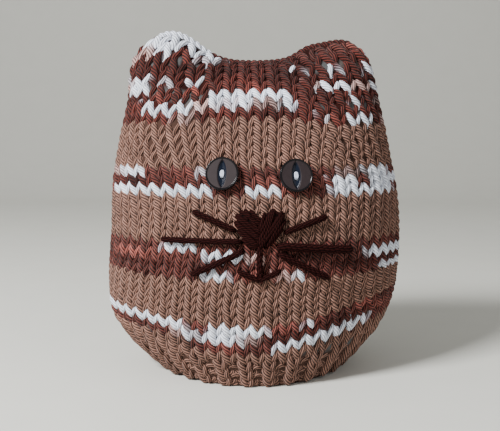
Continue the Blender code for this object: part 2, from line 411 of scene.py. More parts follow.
def form_at(up):
    """The form at shares of the cloth's length from hem to top seam."""
    knots = running(np.hypot(np.diff(FORM[:, HEIGHT]), np.diff(FORM[:, DEPTH])))
    return smooth(knots / knots[-1], FORM, up)


def slit_reach(end, height):
    """How far the cloth's edge stands back from the side seam at a height."""
    for slit_end, low, high, width in SLITS:
        share = (height - low) / (high - low)
        if slit_end == end and 0 < share < 1:
            return width / 2 * math.sin(math.pi * share) ** SLIT_POINT
    return 0


def form_grid(side):
    """The middle of one panel's cloth on a fine grid, as points and outward directions.

    Each level is a half ellipse from seam to seam, walked evenly by its length; the ears' lift
    is added to its height. side is -1 on the front and 1 on the back.
    """
    across = np.linspace(-1, 1, WALES * FINE + 1)
    forms = form_at(np.linspace(0, 1, ROWS * FINE + 1))
    ears = smooth(EARS[:, 0], EARS[:, 1:], across)[:, 0]
    points = np.zeros((len(across), len(forms), 3))
    for level, form in enumerate(forms):
        depth = form[DEPTH] if level < len(forms) - 1 else 0
        backs = [slit_reach(end, form[HEIGHT]) / max(form[DEPTH], 1e-4) for end in (-1, 1)]
        ends = [math.asin(min(back, 0.95)) for back in backs]
        turns = np.linspace(-math.pi / 2 + ends[0], math.pi / 2 - ends[1], TURNS)
        sideways = np.where(turns < 0, form[LEFT], form[RIGHT]) * np.sin(turns)
        lengths = running(np.hypot(np.diff(sideways), np.diff(depth * np.cos(turns))))
        turn = np.interp(across, 2 * lengths / lengths[-1] - 1, turns)
        points[:, level, 0] = np.where(turn < 0, form[LEFT], form[RIGHT]) * np.sin(turn)
        points[:, level, 1] = SEAM_Y + side * np.maximum(depth * np.cos(turn), SEAM_GAP / 2)
        points[:, level, 2] = np.maximum(form[HEIGHT] + form[LIFT] * ears, 0)
    facing = side * np.cross(np.gradient(points, axis=1), np.gradient(points, axis=0))
    facing /= np.maximum(np.linalg.norm(facing, axis=2, keepdims=True), 1e-12)
    return points, facing


GRIDS = {side: form_grid(side) for side in (-1, 1)}


def grid_lengths(side, axis):
    """The lengths of the lines of a panel's grid, across it on axis 0 and up it on axis 1."""
    return np.linalg.norm(np.diff(GRIDS[side][0], axis=axis), axis=2).sum(axis=axis)


def read_grid(values, wale, row):
    """Values of a fine grid between its samples: the weighted mean of the four nearest."""
    wide = np.clip(wale, 0, WALES) * FINE
    high = np.clip(row, 0, ROWS) * FINE
    left = np.minimum(wide.astype(int), WALES * FINE - 1)
    low = np.minimum(high.astype(int), ROWS * FINE - 1)
    wide = (wide - left)[..., None]
    high = (high - low)[..., None]
    lower = values[left, low] * (1 - wide) + values[left + 1, low] * wide
    upper = values[left, low + 1] * (1 - wide) + values[left + 1, low + 1] * wide
    return lower * (1 - high) + upper * high


def on_cloth(side, wale, row, out):
    """Points so far outside the middle of a panel's cloth, and the way that the cloth faces."""
    wale, row, out = np.broadcast_arrays(*(np.asarray(given, float) for given in (wale, row, out)))
    points, facing = GRIDS[side]
    facing = unit(read_grid(facing, wale, row))
    return read_grid(points, wale, row) + facing * out[..., None], facing


def on_face(wale, row, off):
    """Points so far off the outside of the front panel."""
    return on_cloth(-1, wale, row, THICKNESS / 2 + off)


# ---- Meshes ----


def linear(colour):
    """An sRGB colour as linear light."""
    colour = np.asarray(colour, float)
    return np.where(colour <= 0.04045, colour / 12.92, ((colour + 0.055) / 1.055) ** 2.4)


def add_mesh(name, points, faces, maps=None, shades=None):
    """Puts one mesh in the scene. maps are corner coordinates by name, shades a colour a point.

    A fourth number of a shade is kept beside the colour, and is the finish's roughness.
    """
    mesh = bpy.data.meshes.new(name)
    corners = np.concatenate([block.ravel() for block in faces])
    sizes = np.concatenate([np.full(len(block), block.shape[1]) for block in faces])
    mesh.vertices.add(len(points))
    mesh.loops.add(len(corners))
    mesh.polygons.add(len(sizes))
    mesh.vertices.foreach_set("co", np.asarray(points, np.float32).ravel())
    mesh.loops.foreach_set("vertex_index", corners.astype(np.int32))
    mesh.polygons.foreach_set("loop_start", (np.cumsum(sizes) - sizes).astype(np.int32))
    mesh.update(calc_edges=True)
    for title, places in (maps or {}).items():
        layer = mesh.uv_layers.new(name=title)
        layer.data.foreach_set("uv", np.asarray(places, np.float32).ravel())
    if shades is not None:
        layer = mesh.color_attributes.new("shade", "FLOAT_COLOR", "POINT")
        full = np.ones((len(shades), 4))
        full[:, : shades.shape[1]] = shades
        layer.data.foreach_set("color", full.astype(np.float32).ravel())
    mesh.shade_smooth()
    if mesh.validate():
        raise RuntimeError(f"{name} has faulty faces")
    piece = bpy.data.objects.new(name, mesh)
    bpy.context.scene.collection.objects.link(piece)
    return piece


BAKE_MARGIN = 0.04


def ways_round(paths, upward):
    """The ways up and across along paths: up is the given way, made square to the path."""
    ahead = unit(np.gradient(paths, axis=-2))
    up = unit(upward - np.sum(upward * ahead, axis=-1, keepdims=True) * ahead)
    return up, np.cross(ahead, up)


def tube(paths, upward, radii, sides, twist, shades, strips=1, share=(0.0, 1.0)):
    """Round tubes along paths of the same number of points, as points, faces, maps and shades.

    A ring stands square to its path: centre + radius * (cos a * up + sin a * across), where up is
    the given direction made square to the path and across is the path's direction times up. Each
    end closes in a fan on its own centre. The yarn map is (turns of twist, share of a turn), and
    the bake map cuts each tube in so many strips, laid side by side over a share of the unit
    square. twist is the length of one turn of the plies, or those turns point by point. upward,
    radii and shades may be given once for several paths or points.
    """
    lines, count = paths.shape[:2]
    radii = np.broadcast_to(radii, (lines, count))
    shades = np.broadcast_to(shades, (lines, count, 3))
    up, across = ways_round(paths, upward)
    angle = np.linspace(0, 2 * math.pi, sides, endpoint=False) + math.pi
    rings = up[:, :, None] * np.cos(angle)[:, None] + across[:, :, None] * np.sin(angle)[:, None]
    rings = paths[:, :, None] + rings * radii[:, :, None, None]
    points = np.concatenate([rings.reshape(-1, 3), paths[:, 0], paths[:, -1]])

    line, step, side = np.indices((lines, count - 1, sides)).reshape(3, -1)
    ring = (line * count + step) * sides
    after = (side + 1) % sides
    walls = np.stack([ring + side, ring + after, ring + sides + after, ring + sides + side], axis=1)
    lane, spot = np.indices((lines, sides)).reshape(2, -1)
    first = lane * count * sides
    last = first + (count - 1) * sides
    middle = lines * count * sides
    starts = np.stack([first + (spot + 1) % sides, first + spot, middle + lane], axis=1)
    finishes = np.stack([last + spot, last + (spot + 1) % sides, middle + lines + lane], axis=1)

    steps = np.linalg.norm(np.diff(paths, axis=1), axis=2)
    turns_on = twist if np.ndim(twist) else running(steps) / twist
    strip_steps = math.ceil((count - 1) / strips)

    def yarn_place(line, step, ahead_by, turn):
        return np.stack([turns_on[line, step + ahead_by], turn], axis=-1)

    def bake_place(line, step, ahead_by, turn):
        strip = step // strip_steps
        along = (step - strip * strip_steps + ahead_by) / strip_steps
        lane = line * strips + strip + BAKE_MARGIN + (1 - 2 * BAKE_MARGIN) * turn
        return np.stack([along, share[0] + (share[1] - share[0]) * lane / (lines * strips)], axis=-1)

    maps = {}
    for title, rule in (("OFBake", bake_place), ("yarn", yarn_place)):
        square = ((0, 0), (0, 1), (1, 1), (1, 0))
        quads = [rule(line, step, by, (side + on) / sides) for by, on in square]
        caps = []
        for step_at, by, turns in ((0, 0, (1, 0, 0.5)), (count - 2, 1, (0, 1, 0.5))):
            fan = [rule(lane, np.full_like(lane, step_at), by, (spot + on) / sides) for on in turns]
            caps.append(np.stack(fan, axis=1).reshape(-1, 2))
        maps[title] = np.concatenate([np.stack(quads, axis=1).reshape(-1, 2), *caps])
    spread = np.repeat(shades[:, :, None], sides, axis=2).reshape(-1, 3)
    colours = np.concatenate([spread, shades[:, 0], shades[:, -1]])
    return points, [walls, starts, finishes], maps, colours


def turned_faces(around, rings):
    """The faces of rings of points, closed on two centres that come after them, and all corners."""
    spot = np.arange(around)
    after = (spot + 1) % around
    last, count = (rings - 1) * around, rings * around
    faces = [
        grid_faces(around, rings, closed=True)[:, ::-1],
        np.stack([spot, after, np.full_like(spot, count)], axis=1),
        np.stack([last + after, last + spot, np.full_like(spot, count + 1)], axis=1),
    ]
    return faces, np.concatenate([part.ravel() for part in faces])


def join(parts):
    """Several sets of points, faces, maps and shades as one."""
    points, faces, maps, colours = zip(*parts)
    starts = np.cumsum([0] + [len(part) for part in points])
    blocks = [block + start for part, start in zip(faces, starts) for block in part]
    titles = {title: np.concatenate([part[title] for part in maps]) for title in maps[0]}
    return np.concatenate(points), blocks, titles, np.concatenate(colours)


def grid_faces(across, up, closed=False):
    """The quads of a grid of points, walked first across and then up."""
    reach = across if closed else across - 1
    row, column = np.indices((up - 1, reach)).reshape(2, -1)
    after = (column + 1) % across
    here, above = row * across, (row + 1) * across
    return np.stack([here + column, here + after, above + after, above + column], axis=1)


# ---- Finishes ----


def operator_node(operation, swapped=False):
    """An operator of sockets that adds one Math node, with its two values swapped if asked."""
    return lambda self, other: self.math(operation, *((other, self) if swapped else (self, other)))


class Socket:
    """A socket of a shader, so that a sum of sockets and numbers adds its own Math nodes."""

    def __init__(self, tree, link):
        self.tree = tree
        self.link = link

    def node(self, kind, settings=None, output=0, **values):
        """Adds a node of a type, sets it up, then fills its sockets with values or links."""
        made = self.tree.nodes.new(kind)
        for name, setting in (settings or {}).items():
            setattr(made, name, setting)
        for name, value in values.items():
            number = name[1:]
            socket = made.inputs[int(number) if number.isdigit() else name.replace("_", " ")]
            if isinstance(value, Socket):
                self.tree.links.new(value.link, socket)
            else:
                socket.default_value = value
        return Socket(self.tree, made.outputs[output])

    def math(self, operation, *values):
        """One Math node on these values."""
        sockets = {f"_{number}": value for number, value in enumerate(values)}
        return self.node("ShaderNodeMath", {"operation": operation}, **sockets)

    __add__ = __radd__ = operator_node("ADD")
    __mul__ = __rmul__ = operator_node("MULTIPLY")
    __sub__ = operator_node("SUBTRACT")
    __rsub__ = operator_node("SUBTRACT", swapped=True)
    __pow__ = operator_node("POWER")

    def fraction(self):
        return self.math("FRACT", self)

    def shade(self):
        """The colour that is kept in the piece's points."""
        return self.node("ShaderNodeVertexColor", {"layer_name": "shade"})

    def spot(self):
        """The places on the piece, in its own space."""
        return self.node("ShaderNodeTexCoord", output=3)

    def noise(self, scale, detail, settings=None, **more):
        """Noise at these places."""
        more.update(Vector=self, Scale=scale, Detail=detail)
        return self.node("ShaderNodeTexNoise", settings, **more)

    def bump(self, distance, strength):
        """The surface's directions where it rises by this height."""
        return self.node("ShaderNodeBump", Height=self, Distance=distance, Strength=strength)

    def tint(self, colour, how="MULTIPLY", factor=1.0):
        """This colour mixed with another one, or with a number used as a grey."""
        mix = {"data_type": "RGBA", "blend_type": how}
        if isinstance(colour, Socket) and colour.link.type == "VALUE":
            colour = self.node("ShaderNodeCombineColor", Red=colour, Green=colour, Blue=colour)
        return self.node("ShaderNodeMix", mix, 2, _0=factor, _6=self, _7=colour)


def new_finish(name, roughness, sheen=0.0, gloss=0.5):
    """A material with its shader's constants set, and the first socket to work from."""
    material = bpy.data.materials.new(name)
    material.use_nodes = True
    tree = material.node_tree
    shader = tree.nodes["Principled BSDF"]
    shader.inputs["Roughness"].default_value = roughness
    shader.inputs["Sheen Weight"].default_value = sheen
    shader.inputs["Sheen Roughness"].default_value = 0.45
    shader.inputs["Specular IOR Level"].default_value = gloss
    return material, shader, Socket(tree, None)


def feed(shader, name, source):
    """Links a socket to one of the shader's inputs."""
    source.tree.links.new(source.link, shader.inputs[name])


WOOLS = {
    # name: plies, depth of the relief, darkness of the painted shade in the grooves, sheen, gloss
    "knitting_wool": (PLIES, 0.0009, 0.03, 0.05, 0.14),
    "button_thread": (3, 0.0001, 0.6, 0.1, 0.14),
    "face_wool": (4, 0.00045, 0.18, 0.0, 0.05),
}
STRAND_POWER = 3.0
FIBRE_WAYS = (4.5, 5.0)
PATCH_SCALE = 190.0


def wool(name):
    """The finish of one of the wools, made once.

    Strands wind round the yarn, with painted shade that darkens their grooves, and fibres along
    them. Pale wool lets light through, so that the painted shade in its grooves is paler as well.
    The strand's place is plies * (share of a turn + turns of twist); its fraction f gives a rounded
    strand, 1 - (2 f - 1) squared.
    """
    if name in bpy.data.materials:
        return bpy.data.materials[name]
    plies, depth, dark, sheen, gloss = WOOLS[name]
    material, shader, start = new_finish(name, 0.80, sheen, gloss)
    shade = start.shade()
    place = start.node("ShaderNodeUVMap", {"uv_map": "yarn"})
    along = place.node("ShaderNodeSeparateXYZ", _0=place)
    turn = Socket(along.tree, along.link.node.outputs[1])
    phase = (turn + along) * plies
    part = phase.fraction() * 2 - 1
    strand = 1 - part * part
    streak = place.node("ShaderNodeCombineXYZ", X=phase * FIBRE_WAYS[0], Y=along * FIBRE_WAYS[1])
    fibre = streak.noise(1.0, 3.0, {"noise_dimensions": "2D"})
    spot = start.spot()
    patch = spot.noise(PATCH_SCALE, 2.0)
    pale = start.node("ShaderNodeRGBToBW", Color=shade)
    # Painted shade: the colour darkens towards the ply grooves, less on pale wool; light is the share
    # of colour that is left.
    painted_groove_shade = pale**1.4 * (PALE_GROOVE_PAINTED_SHADE - dark) + dark
    light = strand**STRAND_POWER * (1 - painted_groove_shade) + painted_groove_shade
    light = light * (0.78 + fibre * 0.44) * (0.90 + patch * 0.20)
    feed(shader, "Base Color", shade.tint(light))
    lift = strand**0.6 * 0.8 + fibre * 0.35
    feed(shader, "Normal", lift.bump(depth, 1.0))
    return material


def painted_shade_ground_finish():
    """The ground of the cloth between the yarns, whose dark colour is painted shade in the gaps, with
    a fine felt of fibres.
    """
    material, shader, start = new_finish("knit_ground", 0.95, gloss=0.1)
    shade = start.shade()
    spot = start.spot()
    felt = spot.noise(900.0, 4.0)
    feed(shader, "Base Color", shade.tint(0.7 + felt * 0.6))
    feed(shader, "Normal", felt.bump(0.0003, 0.8))
    return material


def button_finish():
    """Dark horn-like plastic: the face, rim and hollow each have their own shade and gloss."""
    material, shader, start = new_finish("button_plastic", 0.3, gloss=0.14)
    shade = start.shade()
    gloss = Socket(shade.tree, shade.link.node.outputs["Alpha"])
    spot = start.spot()
    cloud = spot.noise(260.0, 5.0, Distortion=1.2)
    scuff = spot.noise(2400.0, 2.0)
    feed(shader, "Base Color", shade.tint(0.78 + cloud * 0.44))
    feed(shader, "Roughness", gloss + (scuff - 0.5) * 0.12)
    feed(shader, "Normal", scuff.bump(0.00004, 0.5))
    return material


def plain_finish(name, colour, roughness):
    """A plain pale surface with a faint grain, for the stage."""
    material, shader, start = new_finish(name, roughness)
    spot = start.spot()
    grain = spot.noise(30.0, 3.0)
    base = start.node("ShaderNodeRGB")
    base.link.default_value = (*linear(colour), 1)
    feed(shader, "Base Color", base.tint(0.97 + grain * 0.06))
    return material


# ---- Knitting ----


SHADE_SAMPLES = 16
SHADE_SEED = 40
DRIFT_TAN, DRIFT_DARK = 0.09, 0.36
PALE_FROM, PALE_RATE, PALE_STEADY = 0.30, 3, 0.85


def by_row(table):
    """The entries of a table that is grouped by row, each after its row."""
    return [(row, *entry) for row, *entries in table for entry in entries]


def patch_runs(settings):
    """The front's runs of other shades: seeded lengths of yarn inside every patch.

    A patch begins and ends up to PATCH_END stitches off its sixths. Lengths between the two of
    FLECK_WALES follow each other, and each is knitted in the patch's shade by its share.
    """
    rng = np.random.default_rng(settings.seed + PATCH_SEED)
    runs = []
    for row, first, last, shade, share in by_row(FRONT_PATCHES):
        place = PATCH_WALES * first + rng.uniform(-PATCH_END, PATCH_END)
        end = PATCH_WALES * last + rng.uniform(-PATCH_END, PATCH_END)
        while place < end:
            after = min(place + rng.uniform(*FLECK_WALES), end)
            if rng.random() < share:
                name = LIGHT_REPEAT[len(runs) % len(LIGHT_REPEAT)] if shade == "light" else shade
                runs.append((row, place, after, name))
            place = after
    return runs


def yarn_shades(side, settings):
    """The yarn's colour along every row: the rows' shades, their runs, and a slow drift.

    Runs are laid on samples along each row, blended over a short stretch as dyed yarn is, then
    made lighter and darker by seeded noise that changes over a few stitches.
    """
    count = WALES * SHADE_SAMPLES + 1
    colours = {name: linear(shade) for name, shade in SHADES.items()}
    colours["tan"] = linear(settings.main_shade)
    rows = np.zeros((KNIT_ROWS, count, 3))
    drift = np.zeros((KNIT_ROWS, 1, 1))
    for first, after, shade in ROW_SHADES:
        rows[first:after] = colours[shade]
        drift[first:after] = DRIFT_TAN if shade == "tan" else DRIFT_DARK
    wale = np.arange(count) / SHADE_SAMPLES
    if side < 0:
        runs = patch_runs(settings)
    else:
        runs = [(row, start, start + long, shade) for row, start, long, shade in by_row(BACK_FLECKS)]
    for row, start, end, shade in runs:
        rows[row, (wale >= start) & (wale < end)] = colours[shade]
    rng = np.random.default_rng(settings.seed + SHADE_SEED + side)
    knots = np.linspace(0, WALES, WALES * 2 // 3 + 1)
    noise = rng.normal(0, 1, (KNIT_ROWS, len(knots)))
    noise = np.array([np.interp(wale, knots, line) for line in noise])[..., None]
    pale = np.clip((rows.mean(axis=2, keepdims=True) - PALE_FROM) * PALE_RATE, 0, 1)
    rows = rows * np.exp(drift * noise * (1 - PALE_STEADY * pale))
    window = max(int(RUN_BLEND * SHADE_SAMPLES * 2), 1)
    padded = np.pad(rows, ((0, 0), (window, window), (0, 0)), mode="edge")
    total = np.cumsum(padded, axis=1)
    blended = (total[:, window:] - total[:, :-window]) / window
    return blended[:, window // 2 : window // 2 + count]


def read_shades(rows, wale):
    """The colour at a place along each row, between its samples."""
    place = np.clip(wale, 0, WALES - 1e-6) * SHADE_SAMPLES
    low = place.astype(int)
    share = (place - low)[..., None]
    line = np.arange(len(rows))[:, None]
    return rows[line, low] * (1 - share) + rows[line, low + 1] * share


def knitted_at(row):
    """The number of the knitted row that lies at a row of the form."""
    knitted = np.interp(row, ROW_PLACES[:, PLACE], ROW_PLACES[:, KNITTED])
    return np.minimum(knitted.astype(int), KNIT_ROWS - 1)


def row_table(row, column):
    """A column of the rows' table at places between the knitted rows."""
    return np.interp(row, ROW_PLACES[:, KNITTED], ROW_PLACES[:, column])


def to_sides(wale, share, power):
    """0 in the middle of a row and nearly 1 at its sides: 1 - exp(-(across / share) to a power)."""
    return 1 - np.exp(-(((2 * wale / WALES - 1) / share) ** power))


def lay_rows(side, wale, row):
    """The form's rows at places in the knitting, sunk or lifted towards the sides.

    The front's lowest rows are lifted by 1 - exp(-(across / share) squared), most at one row and
    not at all above another. The rows below the ears are sunk by the same with the fourth power,
    which leaves the middle flat. The top row stands a yarn's radius under the solids' top seam.
    """
    place = row_table(row, PLACE) * (1 - TOP_MARGIN / ROWS)
    place = place - row_table(row, SINKING) * to_sides(wale, SINK_SHARE, 4)
    if side > 0:
        return place
    rise = np.minimum(row / ROW_CURVE_MOST, 1)
    fall = np.clip((ROW_CURVE_TOP - row) / (ROW_CURVE_TOP - ROW_CURVE_MOST), 0, 1)
    lift = np.zeros_like(row)
    for end, rows, share in ROW_CURVES:
        lift += np.where((wale - WALES / 2) * end > 0, rows * to_sides(wale, share, 2), 0)
    return place + lift * rise * fall * fall * (3 - 2 * fall)


def row_sizes():
    """Every knitted row's half round, the width of its stitches and how many there are."""
    lengths = grid_lengths(-1, 0)
    middle = np.arange(KNIT_ROWS) + 0.5
    reach = np.interp(row_table(middle, PLACE) * FINE, np.arange(len(lengths)), lengths)
    width = row_table(middle, WIDTH)
    count = 2 * np.round(reach / width / 2).astype(int) - 2
    count[:RIB_ROWS] = WALES
    width[:RIB_ROWS] = reach[:RIB_ROWS] / WALES
    return reach, width, count


def stitch_place(at, reach, width, count):
    """Wales of the form at stitches counted from a row's middle.

    They are one width apart as far as the last few, which share the rest of the half round.
    """
    inner = count / 2 - EDGE_STITCHES
    outer = (reach / 2 - inner * width) / EDGE_STITCHES
    metres = np.minimum(np.abs(at), inner) * width + np.maximum(np.abs(at) - inner, 0) * outer
    return WALES / 2 * (1 + 2 * np.sign(at) * metres / reach)


def knit_rows(side, settings, rows, count, shades):
    """The yarn's path through rows of so many stitches, its radius, its twist and its colour.

    With t from 0 to a turn for each stitch, the yarn's place is t / turn + swing * sin 2t across,
    row + 1/2 - reach * cos t up, and -relief * cos 2t out of the cloth, so that each loop's legs
    lie in front and its foot and head behind. In the ribs every other wale is turned round.
    """
    points = FRONT_POINTS if side < 0 else BACK_POINTS
    turn = np.arange(count * points + 1) / points * 2 * math.pi
    nominal = turn / (2 * math.pi)
    line = rows[:, None]
    reach, width, _ = (part[rows, None] for part in row_sizes())
    rng = np.random.default_rng(settings.seed + side)
    knots = np.arange(WALES * 2 + 1) / 2
    uneven = rng.normal(0, 1, (3, KNIT_ROWS, len(knots)))[:, rows]
    uneven = np.array([[np.interp(nominal, knots, values) for values in part] for part in uneven])
    uneven = uneven * settings.unevenness

    below = np.where(line == 0, EDGE_REACH, REACH)
    above = np.where(line == KNIT_ROWS - 1, EDGE_REACH, REACH)
    tall = np.where(np.cos(turn) > 0, below, above)
    at = nominal - count / 2 + SWING * np.sin(2 * turn) + UNEVEN_WALE * uneven[0]
    wale = stitch_place(at, reach, width, count)
    row = line + 0.5 - tall * np.cos(turn) + UNEVEN_ROW * uneven[1]
    rib = np.tanh(RIB_SHARPNESS * np.sin(math.pi * nominal))
    way = np.where(line < RIB_ROWS, rib, 1.0)
    out = -RELIEF * np.cos(2 * turn) * way + np.where(line < RIB_ROWS, RIB_RELIEF * rib, 0) - SINK
    paths, facing = on_cloth(side, wale, lay_rows(side, wale, np.clip(row, 0, KNIT_ROWS)), out)
    radii = 1 + LEG_CONTRAST * np.sin(turn) - LEG_TAPER * np.cos(turn) ** 2
    radii = radii + UNEVEN_RADIUS * uneven[2]
    ear = np.interp(line, EAR_ROWS, (0, 1)) * to_sides(wale, SINK_SHARE, 4)
    radii = settings.yarn_radius * radii * (1 + EAR_FULLNESS * ear)
    radii = np.broadcast_to(radii, row.shape).copy()
    paths[..., 2] = np.maximum(paths[..., 2], radii * YARN_SQUASH + FLOOR)
    place = stitch_place(np.broadcast_to(nominal - count / 2, row.shape), reach, width, count)
    colours = read_shades(shades[rows], place)
    steps = np.linalg.norm(np.diff(paths, axis=1), axis=2) / TWIST
    steps = steps * (1 + TWIST_CONTRAST * np.sin(turn[1:] - math.pi / points))
    return paths, facing, radii, running(steps), colours


def lie_on_floor(points):
    """Points kept just above the surface that the hem stands on."""
    points[:, 2] = np.maximum(points[:, 2], FLOOR)
    return points


def dress(piece, finish, slot, *nodes):
    """Gives a piece its finish and its body, and hides the solids that it stands for. The slot is not
    used.
    """
    piece.data.materials.append(finish)
    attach(piece, "root")
    if nodes:
        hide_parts(*nodes)


def add_yarn(name, tubes, finish, slot, *nodes):
    """One piece made of sets of yarn tubes."""
    points, faces, maps, colours = join(tubes)
    dress(add_mesh(name, lie_on_floor(points), faces, maps, colours), finish, slot, *nodes)


# ---- Settings ----


def shade_setting(name, description, default):
    """A colour that a user may change."""
    given = {"name": name, "description": description, "default": default}
    return FloatVectorProperty(**given, min=0, max=1, size=3, subtype="COLOR_GAMMA")


class CosyKnitting(bpy.types.PropertyGroup):
    """The sizes and colours of the knitting."""

    yarn_radius: FloatProperty(
        name="Yarn radius", description="Half the thickness of the knitting yarn",
        default=YARN_RADIUS, min=0.0010, max=0.0020, unit="LENGTH", precision=5,
    )
    unevenness: FloatProperty(
        name="Unevenness", description="How much the stitches differ, where 1 is a practised hand",
        default=1.0, min=0.0, max=2.0, subtype="FACTOR",
    )
    seed: IntProperty(
        name="Seed", description="Picks another set of uneven stitches",
        default=7, min=0,
    )
    main_shade: shade_setting("Main shade", "The yarn's colour in the plain bands", SHADES["tan"])


class CosyFace(bpy.types.PropertyGroup):
    """The sizes and colours of the face."""

    face_shade: shade_setting(
        "Face yarn", "The colour of the nose, the mouth and the whiskers", FACE_SHADE
    )
    thread_shade: shade_setting(
        "Button thread", "The colour of the thread that holds the buttons", THREAD_SHADE
    )
    button_shade: shade_setting(
        "Button face", "The colour of the flat face of the buttons", BUTTON_SHADE
    )
    ply_twist: FloatProperty(
        name="Ply twist", description="The length of one full turn of the face yarn's plies",
        default=STITCH_TWIST, min=0.003, max=0.03, unit="LENGTH", precision=4,
    )


class CosyStage(bpy.types.PropertyGroup):
    """The camera and the light."""

    focal: FloatProperty(
        name="Focal length",
        description="The camera's focal length on a 36 mm sensor, in millimetres",
        default=61.2, min=20.0, max=200.0, unit="CAMERA",
    )
    key_power: FloatProperty(
        name="Key light", description="The power of the large soft light, in watts",
        default=31.0, min=0.0, unit="POWER",
    )
    fill_power: FloatProperty(
        name="Fill light", description="The power of the weak light on the other side, in watts",
        default=1.8, min=0.0, unit="POWER",
    )
    sky: FloatProperty(
        name="Sky", description="The strength of the even light from all round",
        default=0.40, min=0.0,
    )


# ---- Operators ----


CAMERA_PLACE = (-0.0028, -0.4788, 0.138)
CAMERA_PITCH = 6.54
KEY_LIGHT = ((-0.68, -0.60, 0.80), 0.30)
FILL_LIGHT = ((0.75, -0.45, 0.40), 0.70)
SENSOR_WIDTH = 36
NEAREST_SEEN = 0.01
LIGHTS_LOOK_AT = (0, 0, 0.09)
SKY_SHADE = (0.90, 0.89, 0.88, 1)
FLOOR_SHADE, FLOOR_ROUGHNESS = (0.84, 0.84, 0.81), 0.6
FLOOR_SIZE = 3.0
SWEEP_PLACE, SWEEP_RADIUS, SWEEP_STEPS = 0.9, 0.6, 24


def aim(thing, target):
    """Turns a light so that its -Z looks at a place."""
    here = thing.location
    way = np.array(target) - np.array(here)
    level = math.hypot(way[0], way[1])
    thing.rotation_euler = (math.atan2(level, -way[2]), 0, math.atan2(way[1], way[0]) - math.pi / 2)


class COSY_OT_stage(bpy.types.Operator):
    """Make the camera, the lights and the pale floor"""

    bl_idname = "cosy.stage"
    bl_label = "Stage"

    def execute(self, context):
        settings = context.scene.cosy_stage
        lens = bpy.data.cameras.new("camera")
        lens.lens = settings.focal
        lens.sensor_width = SENSOR_WIDTH
        lens.clip_start = NEAREST_SEEN
        camera = bpy.data.objects.new("camera", lens)
        camera.location = CAMERA_PLACE
        camera.rotation_euler = (math.radians(90 - CAMERA_PITCH), 0, 0)
        context.scene.collection.objects.link(camera)
        context.scene.camera = camera
        for name, (place, size), power in (
            ("key_light", KEY_LIGHT, settings.key_power),
            ("fill_light", FILL_LIGHT, settings.fill_power),
        ):
            lamp = bpy.data.lights.new(name, "AREA")
            lamp.energy = power
            lamp.size = size
            light = bpy.data.objects.new(name, lamp)
            light.location = place
            aim(light, LIGHTS_LOOK_AT)
            context.scene.collection.objects.link(light)
        world = bpy.data.worlds.new("studio")
        world.use_nodes = True
        sky = world.node_tree.nodes["Background"]
        sky.inputs["Color"].default_value = SKY_SHADE
        sky.inputs["Strength"].default_value = settings.sky
        context.scene.world = world
        bend = np.linspace(0, math.pi / 2, SWEEP_STEPS)
        back = SWEEP_PLACE + SWEEP_RADIUS * np.sin(bend)
        rise = SWEEP_RADIUS * (1 - np.cos(bend))
        profile = np.array([(-FLOOR_SIZE, 0), *zip(back, rise), (back[-1], FLOOR_SIZE)])
        ends = np.array([-FLOOR_SIZE, FLOOR_SIZE])
        sweep = np.stack(np.broadcast_arrays(ends, profile[:, :1], profile[:, 1:]), axis=-1)
        floor = add_mesh("floor", sweep.reshape(-1, 3), [grid_faces(2, len(profile))])
        floor.data.materials.append(plain_finish("floor_paint", FLOOR_SHADE, FLOOR_ROUGHNESS))
        return {"FINISHED"}


def knit(context, side, pieces, sides, panel, finish):
    """The yarn of one panel in its pieces, made from sets of rows that have as many stitches."""
    settings = context.scene.cosy_knitting
    counts = row_sizes()[2]
    shades = yarn_shades(side, settings)
    for name, first, after in pieces:
        tubes = []
        done = 0
        for count in np.unique(counts[first:after]):
            rows = first + np.flatnonzero(counts[first:after] == count)
            share = (done / (after - first), (done + len(rows)) / (after - first))
            done += len(rows)
            paths, facing, radii, twist, colours = knit_rows(side, settings, rows, count, shades)
            tubes.append(tube(paths, facing, radii, sides, twist, colours, KNIT_STRIPS, share))
        add_yarn(name, tubes, finish, "knitted_cloth", panel)


class COSY_OT_front_yarn(bpy.types.Operator):
    """Knit the front panel, stitch by stitch"""

    bl_idname = "cosy.front_yarn"
    bl_label = "Front knitting"

    def execute(self, context):
        knit(context, -1, FRONT_PIECES, FRONT_SIDES, "front_panel", wool("knitting_wool"))
        return {"FINISHED"}


class COSY_OT_back_yarn(bpy.types.Operator):
    """Knit the back panel, stitch by stitch"""

    bl_idname = "cosy.back_yarn"
    bl_label = "Back knitting"

    def execute(self, context):
        knit(context, 1, BACK_PIECES, BACK_SIDES, "back_panel", wool("knitting_wool"))
        return {"FINISHED"}


GROUND_HALF = 0.0004
GROUND_COLUMNS, GROUND_BANDS = 91, 61
# The ground's colour is the yarn's colour, darkened by this share and kept under this, as painted
# shade between the yarns.
GROUND_PAINTED_SHADE = 0.16
GROUND_PAINTED_SHADE_MOST = 0.07
GROUND_MAP_SIZE, GROUND_MAP_PLACES = (0.48, 0.96), ((0.01, 0.02), (0.51, 0.02))


